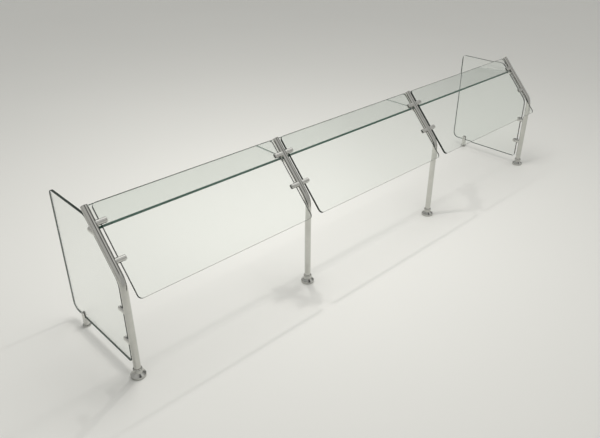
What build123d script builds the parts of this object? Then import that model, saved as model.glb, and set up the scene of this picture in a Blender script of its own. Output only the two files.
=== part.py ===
from build123d import *
import os
from math import cos, radians, sin, tan

# Three-bay glass food guard for a serving counter: four bent tube posts, three leaning front
# panes, three level shelf panes behind them and an upright pane at each end of the row.
# Millimetres.  +X runs along the row, +Y towards the serving staff, +Z up, counter top at Z 0.
# The origin lies on the counter under the middle of the overall box.  Each sub-part is first
# made in a post's own frame, whose Z axis is the upright tube's axis, and is then set in the row.

# ---- Row and posts ----
BAY_LENGTHS = (814.0, 842.5, 883.5)
LEAN = 43.0
BEND_HEIGHT = 389.0
BEND_RADIUS = 76.0
SLANT_LENGTH = 274.0
TUBE_RADIUS = 12.7
TUBE_WALL = 1.5
CAP_THICKNESS = 2.0
CAP_PLUG_LENGTH = 14.0
CAP_CHAMFER = 0.6
PLUG_CLEARANCE = 0.05

# ---- Base plate and its loose cover: cover profiles are (radius, height) corners ----
PLATE_RADIUS = 24.5
PLATE_THICKNESS = 6.0
PLATE_SCREW_CIRCLE_RADIUS = 18.8
PLATE_SCREW_COUNT = 3
PLATE_SCREW_HOLE_RADIUS = 2.75
PLATE_SINK_RADIUS = 5.0
PLATE_SPIGOT_LENGTH = 16.0
COVER_BORE_RADIUS = TUBE_RADIUS + 0.08
COVER_HEIGHT = 36.0
COVER_OUTSIDE = (
    (27.2, 0.0), (27.2, 9.0), (20.5, 15.0), (16.6, 19.0),
    (16.6, 31.5), (14.6, 33.0), (14.6, COVER_HEIGHT), (COVER_BORE_RADIUS, COVER_HEIGHT),
)
COVER_INSIDE = ((COVER_BORE_RADIUS, 30.0), (15.0, 30.0), (15.0, 18.2), (25.6, 8.2), (25.6, 0.0))
COVER_ROUNDING = {(27.2, 9.0): 2.4, (20.5, 15.0): 3.0, (16.6, 19.0): 1.6, (16.6, 31.5): 0.8}

# ---- Glass ----
PANE_THICKNESS = 10.0
SHELF_THICKNESS = 10.0
EDGE_POLISH = 0.6
PANE_SIDE_GAP = 23.0
PANE_BELOW_BEND = 71.6
PANE_ABOVE_BEND = 274.3
PANE_CORNER = 16.0
SHELF_HEIGHT = 516.5
SHELF_FRONT = 151.0
SHELF_DEPTH = 163.0
SHELF_END_GAP = 7.0
SHELF_JOINT_GAP = 4.0
SHELF_JOINT_CORNER = 3.0
SHELF_END_FRONT_CORNER = 5.0
SHELF_END_REAR_CORNER = 12.0
SHELF_TAPER_START = 168.0
SHELF_END_TAPER = 43.0
END_PANE_OFFSET = 25.7
END_PANE_BOTTOM = 43.2
END_PANE_TOP = 556.8
END_PANE_REAR = 451.8
END_FRONT_BOTTOM_CORNER = 16.0
END_BEND_CORNER = 60.0
END_FRONT_TOP_CORNER = 34.0
END_REAR_TOP_CORNER = 18.0
END_REAR_BOTTOM_CORNER = 32.0

# ---- Clamps ----
GASKET = 1.0
GLASS_PLAY = 0.3
SLOT_RELIEF = 1.0
TIP_ROUNDING = 2.0
SADDLE_RADIUS = TUBE_RADIUS + 0.05
PANE_CLAMP_RADIUS = 11.0
PANE_CLAMP_TIP = 46.5
PANE_CLAMP_STATIONS = {"lower": 72.0, "upper": 209.0}
PANE_CLAMP_SIDES = {"left": -1, "right": 1}
SHELF_CLAMP_RADIUS = 12.5
SHELF_CLAMP_TIP = 167.0
END_CLAMP_RADIUS = 11.0
END_CLAMP_TIP = 48.0
END_CLAMP_HEIGHTS = {"low": 140.0, "high": 268.0}
FOOT_Y = 374.0
FOOT_CLAMP_RADIUS = 11.5
FOOT_CLAMP_TOP = 64.0
FOOT_BASE_RADIUS = 16.5
FOOT_BASE_THICKNESS = 5.0
FOOT_BASE_HOLE_RADIUS = 3.4
FOOT_BASE_CHAMFER = 0.8
FOOT_BORE_RADIUS = 3.0
FOOT_BORE_DEPTH = 24.0
FOOT_SCREW_HEIGHT = 53.0
PANE_PAD_HALF = 9.0
SHELF_PAD_REACH = 10.0
END_PAD_HALF = 8.0
UPPER_PAD_HALF = 5.0
UPPER_PAD_SET_BACK = 7.5

# ---- Fasteners ----
STUD_RADIUS = 4.0
STUD_GAP = 0.05
STUD_BITE = 7.5
STUD_TAIL = 5.0
SCREW_RADIUS = 2.5
SCREW_SINK = 0.8
SCREW_HEX_RADIUS = 1.4
SCREW_HEX_DEPTH = 2.0
SCREW_FROM_TIP = 12.0

# ---- Worked out ----
POST_COUNT = len(BAY_LENGTHS) + 1
POST_X = [sum(BAY_LENGTHS[:count]) - sum(BAY_LENGTHS) / 2 for count in range(POST_COUNT)]
LEAN_SIN = sin(radians(LEAN))
LEAN_COS = cos(radians(LEAN))
LEAN_TAN = tan(radians(LEAN))
PANE_FRONT_Y = -PANE_BELOW_BEND * LEAN_SIN - (PANE_THICKNESS / 2 - EDGE_POLISH) * LEAN_COS
ROW_CENTRE_Y = (PANE_FRONT_Y + END_PANE_REAR) / 2
TUBE_Y_AT_SHELF = (SHELF_HEIGHT - BEND_HEIGHT) * LEAN_TAN
TUBE_REAR_Y_AT_SHELF = TUBE_Y_AT_SHELF + TUBE_RADIUS / LEAN_COS
PANE_SLOT = PANE_THICKNESS + 2 * (GLASS_PLAY + GASKET)
SHELF_SLOT = SHELF_THICKNESS + 2 * (GLASS_PLAY + GASKET)
FOOT_SLOT_FLOOR = END_PANE_BOTTOM - GLASS_PLAY - GASKET
END_SCREW_Y = END_CLAMP_TIP - SCREW_FROM_TIP
SHELF_SCREW_Y = SHELF_CLAMP_TIP - SCREW_FROM_TIP + TIP_ROUNDING
SMALL_PARTS = (
    "pane_clamp_studs", "pane_clamp_screws", "pane_clamp_gaskets",
    "rear_clamp_studs", "rear_clamp_screws", "shelf_gaskets", "end_pane_gaskets",
)
LONG = 400.0

# The leaning frame: X along the row, Y up the leaning tube's axis, Z square out to the front.
LEANING = Plane(origin=(0, 0, BEND_HEIGHT), x_dir=(1, 0, 0), z_dir=(0, -LEAN_COS, LEAN_SIN)).location
ALONG_X = Rot(0, 90, 0)
ALONG_Y = Rot(-90, 0, 0)


# ---------------------------------------------------------------- helpers
def box_between(low, high):
    """Box between two opposite corners."""
    size = [end - start for start, end in zip(low, high)]
    return Pos(*low) * Box(*size, align=(Align.MIN, Align.MIN, Align.MIN))


def rod(radius, start, end):
    """Cylinder on +Z between two heights."""
    return Pos(0, 0, start) * Cylinder(radius, end - start, align=(Align.CENTER, Align.CENTER, Align.MIN))


def tip_rounded_rod(radius, start, end):
    """Cylinder on +Z whose far rim is rounded."""
    body = rod(radius, start, end)
    rim = body.edges().filter_by(GeomType.CIRCLE).sort_by(Axis.Z)[-1]
    return fillet(rim, TIP_ROUNDING)


def rounded_outline(corners):
    """Face with straight sides, from (point, corner radius) pairs in order."""
    outline = make_face(Polyline(*[point for point, radius in corners], close=True))
    for (x, y), radius in corners:
        if radius > 0:
            corner = outline.vertices().sort_by_distance((x, y, 0))[0]
            outline = fillet(corner, radius)
    return outline


def glass_sheet(outline, thickness):
    """Sheet of glass on the XY plane's two sides, with its edges flat-polished."""
    sheet = extrude(outline, amount=thickness / 2, both=True)
    rims = sheet.faces().filter_by(Axis.Z).edges()
    return chamfer(rims, EDGE_POLISH)


def in_row(shape, post):
    """Set a shape made in a post's own frame at that post's place in the row."""
    return Pos(POST_X[post - 1], -ROW_CENTRE_Y, 0) * shape


def inward(post):
    """Direction along X from an end post to the rest of the row."""
    return 1 if post == 1 else -1


def save(shape, node):
    """Write one sub-part: a single solid, or a group of separate solids."""
    shape.label = node
    export_step(shape, "parts/" + node + ".step")


def save_group(shapes, node):
    """Write several alike solids as one sub-part."""
    save(Compound(children=list(shapes)), node)


# ---------------------------------------------------------------- posts
def pane_stud_places(post):
    """(side, station) of each front pane clamp that this post carries."""
    sides = [side for name, side in PANE_CLAMP_SIDES.items() if has_pane(post, side)]
    return [(side, station) for side in sides for station in PANE_CLAMP_STATIONS.values()]


def has_pane(post, side):
    """True where a front pane stands on that side of the post."""
    return 1 <= post + (side - 1) / 2 <= len(BAY_LENGTHS)


def is_end(post):
    """True for the first and last posts of the row."""
    return post in (1, POST_COUNT)


def side_stud(station, side, radius, extra=0.0):
    """Stud that crosses the leaning tube's wall on one side, in the post's frame."""
    stud = ALONG_X * rod(radius, TUBE_RADIUS - STUD_TAIL, TUBE_RADIUS + STUD_BITE + extra)
    turn = 0 if side > 0 else 180
    return LEANING * Pos(0, station, 0) * Rot(0, 0, turn) * stud


def rear_stud(height, surface_y, radius, extra=0.0):
    """Stud that crosses the tube's rear wall and points to the staff side."""
    stud = ALONG_Y * rod(radius, surface_y - STUD_TAIL, surface_y + STUD_BITE + extra)
    return Pos(0, 0, height) * stud


def rear_stud_places(post):
    """(height, tube surface) of each rear clamp that this post carries."""
    places = [(SHELF_HEIGHT, TUBE_REAR_Y_AT_SHELF)]
    if is_end(post):
        places += [(height, TUBE_RADIUS) for height in END_CLAMP_HEIGHTS.values()]
    return places


def post_tube(post):
    """Bent round tube, drilled for its clamp studs."""
    top = (0, SLANT_LENGTH * LEAN_SIN, BEND_HEIGHT + SLANT_LENGTH * LEAN_COS)
    path = FilletPolyline((0, 0, PLATE_THICKNESS), (0, 0, BEND_HEIGHT), top, radius=BEND_RADIUS)
    section = Plane.XY.offset(PLATE_THICKNESS)
    tube = sweep(section * Circle(TUBE_RADIUS), path=path)
    tube -= sweep(section * Circle(TUBE_RADIUS - TUBE_WALL), path=path)
    for side, station in pane_stud_places(post):
        tube -= side_stud(station, side, STUD_RADIUS + STUD_GAP)
    for height, surface_y in rear_stud_places(post):
        tube -= rear_stud(height, surface_y, STUD_RADIUS + STUD_GAP)
    return tube


def post_cap():
    """Flat plug that closes the tube's square-cut top."""
    disc = rod(TUBE_RADIUS, SLANT_LENGTH, SLANT_LENGTH + CAP_THICKNESS)
    disc = chamfer(disc.edges().sort_by(Axis.Z)[-1], CAP_CHAMFER)
    plug_radius = TUBE_RADIUS - TUBE_WALL - PLUG_CLEARANCE
    plug = rod(plug_radius, SLANT_LENGTH - CAP_PLUG_LENGTH, SLANT_LENGTH)
    return LEANING * ALONG_Y * (disc + plug)


def base_plate():
    """Round plate with a spigot inside the tube and three countersunk screw holes."""
    plate = rod(PLATE_RADIUS, 0, PLATE_THICKNESS)
    spigot_radius = TUBE_RADIUS - TUBE_WALL - PLUG_CLEARANCE
    plate += rod(spigot_radius, PLATE_THICKNESS, PLATE_THICKNESS + PLATE_SPIGOT_LENGTH)
    hole = rod(PLATE_SCREW_HOLE_RADIUS, 0, PLATE_THICKNESS)
    sink_depth = PLATE_SINK_RADIUS - PLATE_SCREW_HOLE_RADIUS
    sink = Pos(0, 0, PLATE_THICKNESS - sink_depth / 2) * Cone(
        PLATE_SCREW_HOLE_RADIUS, PLATE_SINK_RADIUS, sink_depth
    )
    for place in PolarLocations(PLATE_SCREW_CIRCLE_RADIUS, PLATE_SCREW_COUNT):
        plate -= place * (hole + sink)
    return plate


def base_cover():
    """Spun cover that hides the plate and can be lifted up the post."""
    corners = [(point, COVER_ROUNDING.get(point, 0)) for point in COVER_OUTSIDE + COVER_INSIDE]
    return revolve(Plane.XZ * rounded_outline(corners), axis=Axis.Z)


# ---------------------------------------------------------------- clamps
def pane_clamp(station, side):
    """Slotted round clamp on a post's side that grips a front pane."""
    body = ALONG_X * tip_rounded_rod(PANE_CLAMP_RADIUS, 0, PANE_CLAMP_TIP)
    body -= ALONG_Y * Cylinder(SADDLE_RADIUS, LONG)
    slot_start = PANE_SIDE_GAP - SLOT_RELIEF - GLASS_PLAY
    reach = PANE_CLAMP_RADIUS + SLOT_RELIEF
    body -= box_between((slot_start, -reach, -PANE_SLOT / 2), (LONG, reach, PANE_SLOT / 2))
    body -= ALONG_X * rod(STUD_RADIUS + STUD_GAP, 0, TUBE_RADIUS + STUD_BITE + STUD_GAP)
    screw_x = PANE_CLAMP_TIP - SCREW_FROM_TIP
    body -= Pos(screw_x, 0, 0) * rod(SCREW_RADIUS + STUD_GAP, -LONG, 0)
    turn = 0 if side > 0 else 180
    return LEANING * Pos(0, station, 0) * Rot(0, 0, turn) * body


def set_screw(clamp_radius, slot):
    """Hexagon socket set screw that points along +Z and ends at the slot's wall."""
    start = -clamp_radius + SCREW_SINK
    screw = rod(SCREW_RADIUS, start, -slot / 2)
    socket = extrude(RegularPolygon(SCREW_HEX_RADIUS, 6), amount=SCREW_HEX_DEPTH)
    return screw - Pos(0, 0, start) * socket


def pane_clamp_screw(station, side):
    """Set screw in the rear lip of one front pane clamp."""
    x = side * (PANE_CLAMP_TIP - SCREW_FROM_TIP)
    return LEANING * Pos(x, station, 0) * set_screw(PANE_CLAMP_RADIUS, PANE_SLOT)


def pane_clamp_gaskets(station, side):
    """The two soft pads between one clamp's lips and the pane."""
    start = PANE_SIDE_GAP
    end = PANE_CLAMP_TIP - TIP_ROUNDING
    pads = []
    for face in (-1, 1):
        pad = Box(end - start, 2 * PANE_PAD_HALF, GASKET)
        z = face * (PANE_SLOT - GASKET) / 2
        pads.append(LEANING * Pos(side * (start + end) / 2, station, z) * pad)
    return pads


def rear_clamp_blank(radius, height, start_y, tip_y):
    """Round bar behind a post, not yet slotted, with a bore for its stud."""
    return Pos(0, 0, height) * ALONG_Y * tip_rounded_rod(radius, start_y, tip_y)


def leaning_saddle():
    """Cylinder that hollows a clamp's front end to sit on the leaning tube."""
    return LEANING * ALONG_Y * Cylinder(SADDLE_RADIUS, 2 * LONG)


def shelf_clamp(post):
    """Level clamp for the shelf.  On an end post it also has an upright slot for the end pane."""
    body = rear_clamp_blank(SHELF_CLAMP_RADIUS, SHELF_HEIGHT, TUBE_Y_AT_SHELF, SHELF_CLAMP_TIP)
    body -= leaning_saddle()
    if not is_end(post):
        body = cut_screw_hole(body, Pos(0, SHELF_SCREW_Y, SHELF_HEIGHT))
    body -= rear_stud(SHELF_HEIGHT, TUBE_REAR_Y_AT_SHELF, STUD_RADIUS + STUD_GAP, STUD_GAP)
    slot_y = SHELF_FRONT - SLOT_RELIEF
    low_x, high_x = (-LONG, LONG)
    if is_end(post):
        low_x, high_x = sorted((0, inward(post) * LONG))
        behind = LONG + END_PANE_OFFSET - SLOT_RELIEF
        body -= LEANING * Pos(0, 0, -behind) * Box(PANE_SLOT, 2 * LONG, 2 * LONG)
    half_slot = SHELF_SLOT / 2
    slot_low = (low_x, slot_y, SHELF_HEIGHT - half_slot)
    slot_high = (high_x, LONG, SHELF_HEIGHT + half_slot)
    return body - box_between(slot_low, slot_high)


def inner_screw_place(post, y, height):
    """Place for a set screw in the lip that faces the row, pointing out of the row."""
    return Pos(0, y, height) * Rot(0, -90 * inward(post), 0)


def cut_screw_hole(body, place):
    """Drill one lip of a clamp for a set screw."""
    return body - place * rod(SCREW_RADIUS + STUD_GAP, -LONG, 0)


def end_clamp(post, height):
    """Upright-slotted clamp behind an end post that grips the end pane."""
    body = rear_clamp_blank(END_CLAMP_RADIUS, height, 0, END_CLAMP_TIP)
    body -= Cylinder(SADDLE_RADIUS, 2 * LONG)
    body -= rear_stud(height, TUBE_RADIUS, STUD_RADIUS + STUD_GAP, STUD_GAP)
    slot_y = END_PANE_OFFSET - SLOT_RELIEF
    body -= box_between((-PANE_SLOT / 2, slot_y, 0), (PANE_SLOT / 2, LONG, LONG))
    return cut_screw_hole(body, inner_screw_place(post, END_SCREW_Y, height))


def foot_clamp(post):
    """Upright round clamp on the counter that carries the end pane's bottom edge."""
    body = Pos(0, FOOT_Y, 0) * tip_rounded_rod(FOOT_CLAMP_RADIUS, FOOT_BASE_THICKNESS, FOOT_CLAMP_TOP)
    body -= box_between((-PANE_SLOT / 2, 0, FOOT_SLOT_FLOOR), (PANE_SLOT / 2, 2 * LONG, LONG))
    bore_top = FOOT_BASE_THICKNESS + FOOT_BORE_DEPTH
    body -= Pos(0, FOOT_Y, 0) * rod(FOOT_BORE_RADIUS, FOOT_BASE_THICKNESS, bore_top)
    return cut_screw_hole(body, inner_screw_place(post, FOOT_Y, FOOT_SCREW_HEIGHT))


def foot_base():
    """Round base under the foot clamp, with a hole for the counter screw."""
    disc = rod(FOOT_BASE_RADIUS, 0, FOOT_BASE_THICKNESS)
    disc = chamfer(disc.edges().sort_by(Axis.Z)[-1], FOOT_BASE_CHAMFER)
    return Pos(0, FOOT_Y, 0) * (disc - rod(FOOT_BASE_HOLE_RADIUS, 0, FOOT_BASE_THICKNESS))


def rear_clamp_screws(post):
    """Set screws of the shelf clamp, or of the end pane clamps and the foot clamp."""
    if not is_end(post):
        screw = set_screw(SHELF_CLAMP_RADIUS, SHELF_SLOT)
        return [Pos(0, SHELF_SCREW_Y, SHELF_HEIGHT) * screw]
    end_screw = set_screw(END_CLAMP_RADIUS, PANE_SLOT)
    screws = [
        inner_screw_place(post, END_SCREW_Y, height) * end_screw for height in END_CLAMP_HEIGHTS.values()
    ]
    foot_screw = set_screw(FOOT_CLAMP_RADIUS, PANE_SLOT)
    return screws + [inner_screw_place(post, FOOT_Y, FOOT_SCREW_HEIGHT) * foot_screw]


def shelf_gaskets(post):
    """Soft pads above and below the shelf panes in one shelf clamp."""
    low_x, high_x = (-SHELF_PAD_REACH, SHELF_PAD_REACH)
    if is_end(post):
        low_x, high_x = sorted((inward(post) * SHELF_END_GAP, inward(post) * SHELF_PAD_REACH))
    inner = SHELF_SLOT / 2 - GASKET
    outer = SHELF_SLOT / 2
    pads = []
    for low_z, high_z in ((-outer, -inner), (inner, outer)):
        low = (low_x, SHELF_FRONT + SLOT_RELIEF, SHELF_HEIGHT + low_z)
        high = (high_x, SHELF_CLAMP_TIP - TIP_ROUNDING, SHELF_HEIGHT + high_z)
        pads.append(box_between(low, high))
    return pads


def end_pane_gaskets():
    """Soft pads in the clamps of one end pane, and the pad under its bottom edge."""
    shelf_pad_start = SHELF_FRONT + UPPER_PAD_SET_BACK
    ranges = [
        (shelf_pad_start, SHELF_CLAMP_TIP - TIP_ROUNDING, SHELF_HEIGHT, UPPER_PAD_HALF),
        (FOOT_Y - END_PAD_HALF, FOOT_Y + END_PAD_HALF, FOOT_SCREW_HEIGHT, END_PAD_HALF),
    ]
    for height in END_CLAMP_HEIGHTS.values():
        pad_start = END_PANE_OFFSET + SLOT_RELIEF
        ranges.append((pad_start, END_CLAMP_TIP - TIP_ROUNDING, height, END_PAD_HALF))
    inner = PANE_SLOT / 2 - GASKET
    outer = PANE_SLOT / 2
    pads = []
    for start, end, height, half in ranges:
        low_z, high_z = height - half, height + half
        pads.append(box_between((-outer, start, low_z), (-inner, end, high_z)))
        pads.append(box_between((inner, start, low_z), (outer, end, high_z)))
    low = (-PANE_THICKNESS / 2, FOOT_Y - END_PAD_HALF, FOOT_SLOT_FLOOR)
    high = (PANE_THICKNESS / 2, FOOT_Y + END_PAD_HALF, FOOT_SLOT_FLOOR + GASKET)
    return pads + [box_between(low, high)]


# ---------------------------------------------------------------- glass
def front_pane(bay):
    """Leaning pane between two posts, in the frame of the post on its left."""
    left = PANE_SIDE_GAP
    right = BAY_LENGTHS[bay - 1] - PANE_SIDE_GAP
    points = (
        (left, -PANE_BELOW_BEND), (right, -PANE_BELOW_BEND),
        (right, PANE_ABOVE_BEND), (left, PANE_ABOVE_BEND),
    )
    outline = rounded_outline([(point, PANE_CORNER) for point in points])
    return LEANING * glass_sheet(outline, PANE_THICKNESS)


def shelf_side(x, along, outer):
    """Corners of one side of a shelf pane, front to rear.  A side at the row's end is cut askew."""
    rear = SHELF_FRONT + SHELF_DEPTH
    if not outer:
        return [((x, SHELF_FRONT), SHELF_JOINT_CORNER), ((x, rear), SHELF_JOINT_CORNER)]
    return [
        ((x, SHELF_FRONT), SHELF_END_FRONT_CORNER),
        ((x, SHELF_TAPER_START), 0),
        ((x + along * SHELF_END_TAPER, rear), SHELF_END_REAR_CORNER),
    ]


def shelf_pane(bay):
    """Level pane behind the posts, in the frame of the post on its left."""
    left_end = bay == 1
    right_end = bay == len(BAY_LENGTHS)
    left = SHELF_END_GAP if left_end else SHELF_JOINT_GAP / 2
    right = BAY_LENGTHS[bay - 1] - (SHELF_END_GAP if right_end else SHELF_JOINT_GAP / 2)
    left_side = shelf_side(left, 1, left_end)
    right_side = shelf_side(right, -1, right_end)
    outline = rounded_outline(right_side + left_side[::-1])
    return Pos(0, 0, SHELF_HEIGHT) * glass_sheet(outline, SHELF_THICKNESS)


def end_pane():
    """Upright pane behind an end post; its front edge follows the bent tube."""
    bend_z = BEND_HEIGHT - END_PANE_OFFSET * tan(radians(LEAN / 2))
    top_y = END_PANE_OFFSET + (END_PANE_TOP - bend_z) * LEAN_TAN
    corners = [
        ((END_PANE_OFFSET, END_PANE_BOTTOM), END_FRONT_BOTTOM_CORNER),
        ((END_PANE_REAR, END_PANE_BOTTOM), END_REAR_BOTTOM_CORNER),
        ((END_PANE_REAR, END_PANE_TOP), END_REAR_TOP_CORNER),
        ((top_y, END_PANE_TOP), END_FRONT_TOP_CORNER),
        ((END_PANE_OFFSET, bend_z), END_BEND_CORNER),
    ]
    return Plane.YZ.location * glass_sheet(rounded_outline(corners), PANE_THICKNESS)


# ---------------------------------------------------------------- whole row
def save_post(post):
    """Write one post with everything that is fixed to it."""
    save(in_row(post_tube(post), post), f"post_{post}")
    save(in_row(post_cap(), post), f"post_cap_{post}")
    save(in_row(base_plate(), post), f"base_plate_{post}")
    save(in_row(base_cover(), post), f"base_cover_{post}")
    for name, side in PANE_CLAMP_SIDES.items():
        if has_pane(post, side):
            for level, station in PANE_CLAMP_STATIONS.items():
                save(in_row(pane_clamp(station, side), post), f"pane_clamp_{post}_{name}_{level}")
    save(in_row(shelf_clamp(post), post), f"shelf_clamp_{post}")
    if is_end(post):
        for level, height in END_CLAMP_HEIGHTS.items():
            save(in_row(end_clamp(post, height), post), f"end_clamp_{post}_{level}")
        save(in_row(foot_clamp(post), post), f"foot_clamp_{post}")
        save(in_row(foot_base(), post), f"foot_base_{post}")


def save_small_parts():
    """Write the fasteners and soft pads of the whole row, one node for each kind."""
    groups = {name: [] for name in SMALL_PARTS}
    for post in range(1, POST_COUNT + 1):
        for side, station in pane_stud_places(post):
            groups["pane_clamp_studs"].append(in_row(side_stud(station, side, STUD_RADIUS), post))
            groups["pane_clamp_screws"].append(in_row(pane_clamp_screw(station, side), post))
            pads = pane_clamp_gaskets(station, side)
            groups["pane_clamp_gaskets"] += [in_row(pad, post) for pad in pads]
        for height, surface_y in rear_stud_places(post):
            groups["rear_clamp_studs"].append(in_row(rear_stud(height, surface_y, STUD_RADIUS), post))
        groups["rear_clamp_screws"] += [in_row(screw, post) for screw in rear_clamp_screws(post)]
        groups["shelf_gaskets"] += [in_row(pad, post) for pad in shelf_gaskets(post)]
        if is_end(post):
            groups["end_pane_gaskets"] += [in_row(pad, post) for pad in end_pane_gaskets()]
    for name, shapes in groups.items():
        save_group(shapes, name)


os.makedirs("parts", exist_ok=True)
for post in range(1, POST_COUNT + 1):
    save_post(post)
save_small_parts()
for bay in range(1, len(BAY_LENGTHS) + 1):
    save(in_row(front_pane(bay), bay), f"front_pane_{bay}")
    save(in_row(shelf_pane(bay), bay), f"shelf_pane_{bay}")
save(in_row(end_pane(), 1), "end_pane_left")
save(in_row(end_pane(), POST_COUNT), "end_pane_right")
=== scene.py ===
"""Looks of the three-bay glass food guard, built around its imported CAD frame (metres, Z up)."""
import math

import bpy
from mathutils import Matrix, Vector


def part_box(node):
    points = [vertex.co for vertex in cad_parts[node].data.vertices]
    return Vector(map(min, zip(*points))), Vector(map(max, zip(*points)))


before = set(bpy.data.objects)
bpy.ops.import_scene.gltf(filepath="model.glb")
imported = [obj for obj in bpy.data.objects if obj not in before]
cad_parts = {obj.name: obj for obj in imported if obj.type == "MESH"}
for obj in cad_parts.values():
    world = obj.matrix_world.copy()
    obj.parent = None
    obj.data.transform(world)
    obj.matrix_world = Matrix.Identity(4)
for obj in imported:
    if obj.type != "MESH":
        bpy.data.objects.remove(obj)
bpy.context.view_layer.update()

# ---------------------------------------------------------------- camera
CAMERA_PLACE = Vector((-1.9744, -1.7438, 1.5283))
CAMERA_YAW = 0.7624  # radians from +Y towards +X
CAMERA_PITCH = -0.5157  # radians above the horizon
LENS = 37.334
SENSOR = 36.0
CLIP_START, CLIP_END = 0.01, 100.0

# ---------------------------------------------------------------- floor and light
FLOOR_HALF = 14.0
FLOOR_COLOURS = ((0.79, 0.79, 0.765), (0.80, 0.80, 0.775))
FLOOR_CLOUD_SCALE = 0.7
FLOOR_ROUGHNESS = 0.85
FLOOR_SPECULAR = 0.1

WORLD_COLOUR = (1.0, 0.995, 0.965)
WORLD_STRENGTH = 0.47
# Soft patches of the studio's walls: (direction, cosine at the rim, cosine at the core, strength added).
WORLD_PATCHES = (
    ((0.50, -0.54, 0.68), 0.955, 0.99, 0.30),
    ((0.03, -0.60, 0.80), 0.965, 0.996, -0.42),
    ((-0.80, -0.35, 0.48), 0.80, 0.96, 0.10),
    ((0.98, 0.12, 0.14), 0.86, 0.97, -0.28),
    ((0.47, 0.18, 0.86), 0.91, 0.975, 0.85),
)
LAMP_COLOUR = (1.0, 0.985, 0.95)
# Studio lamps that point straight down: (name, place, diameter, power).
LAMPS = (
    ("overhead", (-0.05, 0.25, 3.20), 1.60, 42.0),
    ("spark", (-0.25, 0.20, 1.45), 0.05, 4.0),
)

# ---------------------------------------------------------------- steel
# Material, starts of its CAD nodes' names, light and dark colour, roughness, grain per metre along
# X, Y and Z, and height of the grain. A later row takes over a node that an earlier row names too.
STEELS = (
    ("post_satin_steel", ("post_",),
     (0.62, 0.62, 0.59), (0.56, 0.56, 0.53), 0.11, (260, 260, 9), 6e-7),
    ("cover_polished_steel", ("base_cover",),
     (0.56, 0.56, 0.535), (0.48, 0.48, 0.46), 0.10, (30, 30, 900), 1e-6),
    ("clamp_satin_steel", ("pane_clamp", "shelf_clamp", "end_clamp", "foot_"),
     (0.68, 0.68, 0.65), (0.60, 0.60, 0.575), 0.22, (420, 90, 90), 6e-7),
    ("plate_steel", ("base_plate", "pane_clamp_studs", "rear_clamp_studs"),
     (0.52, 0.51, 0.49), (0.46, 0.45, 0.43), 0.38, (300, 300, 300), 4e-6),
    ("screw_dark_steel", ("pane_clamp_screws", "rear_clamp_screws"),
     (0.34, 0.34, 0.33), (0.26, 0.26, 0.25), 0.34, (900, 900, 900), 4e-6),
)
GRAIN_SWING = 0.05
SMUDGE_SCALE = 34.0
SMUDGE_SWING = 0.035

# ---------------------------------------------------------------- pads
PAD_NODES = ("pane_clamp_gaskets", "shelf_gaskets", "end_pane_gaskets")
PAD_COLOURS = ((0.05, 0.05, 0.048), (0.10, 0.10, 0.095))
PAD_GRAIN_SCALE = 900.0
PAD_BUMP = 0.0001
PAD_BUMP_STRENGTH = 0.6
PAD_ROUGHNESS = (0.5, 0.65)

# ---------------------------------------------------------------- glass
LEAN = math.radians(43.0)
PANE_NORMAL = (0.0, -math.cos(LEAN), math.sin(LEAN))
SHELF_NORMAL = (0.0, 0.0, 1.0)
END_NORMAL = (1.0, 0.0, 0.0)
FORWARD = (0.0, -1.0, 0.0)
SIDEWAYS = ((1.0, 0.0, 0.0), (-1.0, 0.0, 0.0))
FACE_LIMIT = 0.85  # cosine above which a face counts as square to a direction
GLASS_IOR = 1.5
EDGE_ROUGHNESS = 0.30
STREAK_SCALE = (9.0, 9.0, 9.0)
HAZE_SCALE = (3.0, 3.0, 3.0)
HAZE_LIFT = 0.01
PANE_TINT = (0.955, 0.975, 0.960)
SHELF_TINT = (0.945, 0.968, 0.945)
PANE_EDGE = ((0.004, 0.010, 0.007), (0.010, 0.024, 0.017))
SHELF_EDGE = ((0.004, 0.075, 0.045), (0.008, 0.105, 0.064))
# Painted edge reflection: a dark strip painted over the end panes' clear faces along their rear and
# bottom edges, standing in for the edge's internal reflection seen through the glass. Its colour here
# and its width on each pane below; wider on the left pane, which the camera sees from outside.
PAINTED_EDGE_REFLECTION_COLOUR = (0.004, 0.040, 0.024)
END_CORNER = 0.032
PAINTED_REFLECTION_WIDTHS = {"left": 0.010, "right": 0.002}

EVEN = (1, 1, 1)
MIX_FIRST, MIX_SECOND, MIX_RESULT = 6, 7, 2  # a Mix node's colour sockets


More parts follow.
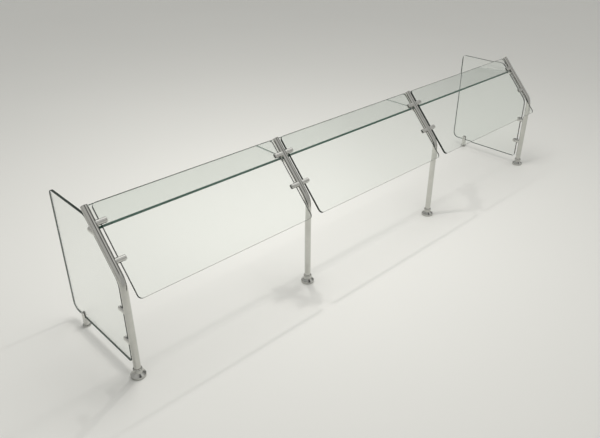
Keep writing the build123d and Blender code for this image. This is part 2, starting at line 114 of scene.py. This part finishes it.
class Graph:
    """A new material, with a short way to add and link its shader nodes."""

    def __init__(self, name):
        self.material = bpy.data.materials.new(name)
        self.material.use_nodes = True
        self.tree = self.material.node_tree
        self.tree.nodes.clear()

    def feed(self, socket, value):
        """Link a socket to another node's output, or set its value."""
        if isinstance(value, bpy.types.NodeSocket):
            self.tree.links.new(value, socket)
        else:
            socket.default_value = value

    def add(self, kind, inputs=None, **settings):
        node = self.tree.nodes.new(kind)
        for key, value in settings.items():
            setattr(node, key, value)
        for key, value in (inputs or {}).items():
            self.feed(node.inputs[key], value)
        return node

    def math(self, operation, *values):
        node = self.add("ShaderNodeMath", dict(enumerate(values)), operation=operation)
        return node.outputs[0]

    def along(self, vector, direction):
        """Dot product of two vectors."""
        inputs = {0: vector, 1: direction}
        node = self.add("ShaderNodeVectorMath", inputs, operation="DOT_PRODUCT")
        return node.outputs["Value"]

    def scaled(self, scale):
        """Object coordinates stretched by a scale along each axis."""
        place = self.add("ShaderNodeTexCoord").outputs["Object"]
        return self.add("ShaderNodeMapping", {"Vector": place, "Scale": scale}).outputs[0]

    def noise(self, vector, scale, detail=4.0, roughness=0.55):
        inputs = {"Vector": vector, "Scale": scale, "Detail": detail, "Roughness": roughness}
        return self.add("ShaderNodeTexNoise", inputs).outputs["Fac"]

    def spread(self, value, low, high, source=(0.3, 0.7)):
        """Map a value from its source range, that of noise if not told, onto a new one."""
        inputs = {
            "Value": value, "From Min": source[0], "From Max": source[1], "To Min": low, "To Max": high,
        }
        return self.add("ShaderNodeMapRange", inputs).outputs[0]

    def blend(self, factor, first, second):
        """Mix two colours, each a socket or three channels."""
        node = self.add("ShaderNodeMix", {"Factor": factor}, data_type="RGBA")
        for index, value in ((MIX_FIRST, first), (MIX_SECOND, second)):
            linked = isinstance(value, bpy.types.NodeSocket)
            self.feed(node.inputs[index], value if linked else (*value, 1.0))
        return node.outputs[MIX_RESULT]

    def finish(self, shader):
        self.add("ShaderNodeOutputMaterial", {"Surface": shader.outputs[0]})
        return self.material


def metal(name, light, dark, roughness, grain, bump):
    """Stainless steel with a directional grain and faint smudges."""
    graph = Graph(name)
    grain_noise = graph.noise(graph.scaled(grain), 1.0, 6.0, 0.65)
    smudge = graph.noise(graph.scaled(EVEN), SMUDGE_SCALE, 3.0)
    colour = graph.blend(graph.spread(smudge, 0.0, 1.0), dark, light)
    fine = graph.spread(grain_noise, -GRAIN_SWING, GRAIN_SWING)
    broad = graph.spread(smudge, roughness - SMUDGE_SWING, roughness + SMUDGE_SWING)
    height = graph.add("ShaderNodeBump", {"Height": grain_noise, "Distance": bump, "Strength": 1.0})
    shader = graph.add("ShaderNodeBsdfPrincipled", {
        "Base Color": colour, "Metallic": 1.0, "Roughness": graph.math("ADD", broad, fine),
        "Normal": height.outputs[0],
    })
    return graph.finish(shader)


def rubber(name):
    """Soft dark pad with a fine matt grain."""
    graph = Graph(name)
    grain = graph.noise(graph.scaled(EVEN), PAD_GRAIN_SCALE)
    height = graph.add("ShaderNodeBump", {
        "Height": grain, "Distance": PAD_BUMP, "Strength": PAD_BUMP_STRENGTH,
    })
    shader = graph.add("ShaderNodeBsdfPrincipled", {
        "Base Color": graph.blend(graph.spread(grain, 0.0, 1.0), *PAD_COLOURS),
        "Roughness": graph.spread(grain, *PAD_ROUGHNESS), "Normal": height.outputs[0],
    })
    return graph.finish(shader)


def painted_reflection_strip(graph, width):
    """1 within a strip of an end pane's rear and bottom edges, round their shared corner: the mask of a
    painted edge reflection, a dark strip standing in for the edge seen reflected inside the glass.

    Both end panes have the same outline, so the left one's box serves for both.
    """
    low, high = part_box("end_pane_left")
    place = graph.add("ShaderNodeSeparateXYZ", {0: graph.scaled(EVEN)}).outputs
    behind = graph.math("SUBTRACT", place["Y"], high[1] - END_CORNER)
    below = graph.math("SUBTRACT", low[2] + END_CORNER, place["Z"])
    inputs = {0: graph.math("MAXIMUM", behind, 0.0), 1: graph.math("MAXIMUM", below, 0.0)}
    reach = graph.add("ShaderNodeCombineXYZ", inputs).outputs[0]
    length = graph.add("ShaderNodeVectorMath", {0: reach}, operation="LENGTH").outputs["Value"]
    return graph.math("GREATER_THAN", length, END_CORNER - width)


def glass(name, normal, tint, edge_colours, shadow, mirror, clear_edges=(), painted_reflection_width=0.0):
    """Clear float glass between two faces square to the normal, with dark green polished edges.

    Edges that face one of the clear_edges directions stay as clear as the faces. Shadows and the
    floor's light pass through, dimmed by shadow. mirror is the specular level.
    """
    graph = Graph(name)
    true_normal = graph.add("ShaderNodeNewGeometry").outputs["True Normal"]
    opposite = [-axis for axis in normal]
    face = 0.0
    for direction in (normal, opposite, *clear_edges):
        facing = graph.math("GREATER_THAN", graph.along(true_normal, direction), FACE_LIMIT)
        face = graph.math("MAXIMUM", facing, face)
    streak = graph.noise(graph.scaled(STREAK_SCALE), 1.0, 3.0)
    edge = graph.blend(graph.spread(streak, 0.0, 1.0), *edge_colours)
    # Painted edge reflection: the strip takes the dark colour and is made opaque, standing in for the
    # edge's internal reflection seen through the face.
    if painted_reflection_width:
        painted_strip = painted_reflection_strip(graph, painted_reflection_width)
        edge = graph.blend(painted_strip, edge, PAINTED_EDGE_REFLECTION_COLOUR)
        face = graph.math("MAXIMUM", graph.math("SUBTRACT", face, painted_strip), 0.0)
    haze = graph.noise(graph.scaled(HAZE_SCALE), 1.0, 2.0)
    paler_tint = [channel + HAZE_LIFT for channel in tint]
    clear = graph.blend(graph.spread(haze, 0.0, 1.0), tint, paler_tint)
    shader = graph.add("ShaderNodeBsdfPrincipled", {
        "Base Color": graph.blend(face, edge, clear), "IOR": GLASS_IOR,
        "Roughness": graph.spread(face, EDGE_ROUGHNESS, 0.0, (0.0, 1.0)),
        "Transmission Weight": face, "Specular IOR Level": mirror,
    })
    dim = graph.blend(face, edge_colours[1], (shadow, shadow, shadow))
    through = graph.add("ShaderNodeBsdfTransparent", {"Color": dim})
    path = graph.add("ShaderNodeLightPath").outputs
    soft_ray = graph.math("MAXIMUM", path["Is Shadow Ray"], path["Is Diffuse Ray"])
    mix = graph.add("ShaderNodeMixShader", {0: soft_ray, 1: shader.outputs[0], 2: through.outputs[0]})
    return graph.finish(mix)


def dress(material, *starts):
    """Give a material to the CAD nodes whose names start with one of these."""
    for name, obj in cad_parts.items():
        if not name.startswith(starts):
            continue
        if not obj.material_slots:
            obj.data.materials.append(material)
        for slot in obj.material_slots:
            slot.material = material


def dress_all():
    """Dress every CAD node in steel, rubber or glass."""
    for name, starts, *finish in STEELS:
        dress(metal(name, *finish), *starts)
    dress(rubber("pad_rubber"), *PAD_NODES)
    front = glass("pane_clear_glass", PANE_NORMAL, PANE_TINT, PANE_EDGE, 0.97, 0.35)
    dress(front, "front_pane")
    shelf = glass("shelf_clear_glass", SHELF_NORMAL, SHELF_TINT, SHELF_EDGE, 0.96, 0.30, SIDEWAYS)
    dress(shelf, "shelf_pane")
    # Each end pane gets its own width of painted edge reflection.
    for side, width in PAINTED_REFLECTION_WIDTHS.items():
        name = "end_%s_clear_glass" % side
        end = glass(name, END_NORMAL, PANE_TINT, PANE_EDGE, 0.97, 0.30, (FORWARD,), width)
        dress(end, "end_pane_" + side)


def make_camera():
    """The photograph's viewpoint and framing."""
    data = bpy.data.cameras.new("camera")
    data.lens = LENS
    data.sensor_width = SENSOR
    data.clip_start = CLIP_START
    data.clip_end = CLIP_END
    camera = bpy.data.objects.new("camera", data)
    bpy.context.scene.collection.objects.link(camera)
    level = math.cos(CAMERA_PITCH)
    ahead = Vector((
        math.sin(CAMERA_YAW) * level, math.cos(CAMERA_YAW) * level, math.sin(CAMERA_PITCH),
    ))
    camera.location = CAMERA_PLACE
    camera.rotation_mode = "QUATERNION"
    camera.rotation_quaternion = ahead.to_track_quat("-Z", "Y")
    bpy.context.scene.camera = camera


def make_floor():
    """Plain pale floor."""
    graph = Graph("floor_pale")
    cloud = graph.noise(graph.scaled(EVEN), FLOOR_CLOUD_SCALE, 2.0)
    shader = graph.add("ShaderNodeBsdfPrincipled", {
        "Base Color": graph.blend(graph.spread(cloud, 0.0, 1.0), *FLOOR_COLOURS),
        "Roughness": FLOOR_ROUGHNESS, "Specular IOR Level": FLOOR_SPECULAR,
    })
    mesh = bpy.data.meshes.new("floor")
    half = FLOOR_HALF
    corners = [(-half, -half, 0), (half, -half, 0), (half, half, 0), (-half, half, 0)]
    mesh.from_pydata(corners, [], [(0, 1, 2, 3)])
    mesh.materials.append(graph.finish(shader))
    floor = bpy.data.objects.new("floor", mesh)
    bpy.context.scene.collection.objects.link(floor)


def make_world():
    """Pale studio walls, with a few lighter and darker soft patches for the steel to mirror."""
    world = bpy.data.worlds.new("world")
    world.use_nodes = True
    bpy.context.scene.world = world
    tree = world.node_tree
    direction = tree.nodes.new("ShaderNodeTexCoord").outputs["Generated"]
    strength = None
    for toward, rim, core, amount in WORLD_PATCHES:
        dot = tree.nodes.new("ShaderNodeVectorMath")
        dot.operation = "DOT_PRODUCT"
        dot.inputs[1].default_value = Vector(toward).normalized()
        tree.links.new(direction, dot.inputs[0])
        fade = tree.nodes.new("ShaderNodeMapRange")
        fade.interpolation_type = "SMOOTHSTEP"
        tree.links.new(dot.outputs["Value"], fade.inputs["Value"])
        fade.inputs["From Min"].default_value = rim
        fade.inputs["From Max"].default_value = core
        fade.inputs["To Max"].default_value = amount
        total = tree.nodes.new("ShaderNodeMath")
        total.inputs[1].default_value = WORLD_STRENGTH
        tree.links.new(fade.outputs[0], total.inputs[0])
        if strength:
            tree.links.new(strength, total.inputs[1])
        strength = total.outputs[0]
    background = tree.nodes["Background"]
    background.inputs["Color"].default_value = (*WORLD_COLOUR, 1.0)
    tree.links.new(strength, background.inputs["Strength"])


def make_lamps():
    """Soft lamps that cast the shadows and are seen in no reflection."""
    for name, place, diameter, power in LAMPS:
        data = bpy.data.lights.new(name, "AREA")
        data.shape = "DISK"
        data.size = diameter
        data.energy = power
        data.color = LAMP_COLOUR
        lamp = bpy.data.objects.new(name, data)
        lamp.location = place
        lamp.visible_camera = False
        lamp.visible_glossy = False
        lamp.visible_transmission = False
        bpy.context.scene.collection.objects.link(lamp)


make_camera()
make_floor()
make_world()
make_lamps()
dress_all()
bpy.context.scene.view_settings.view_transform = "Standard"
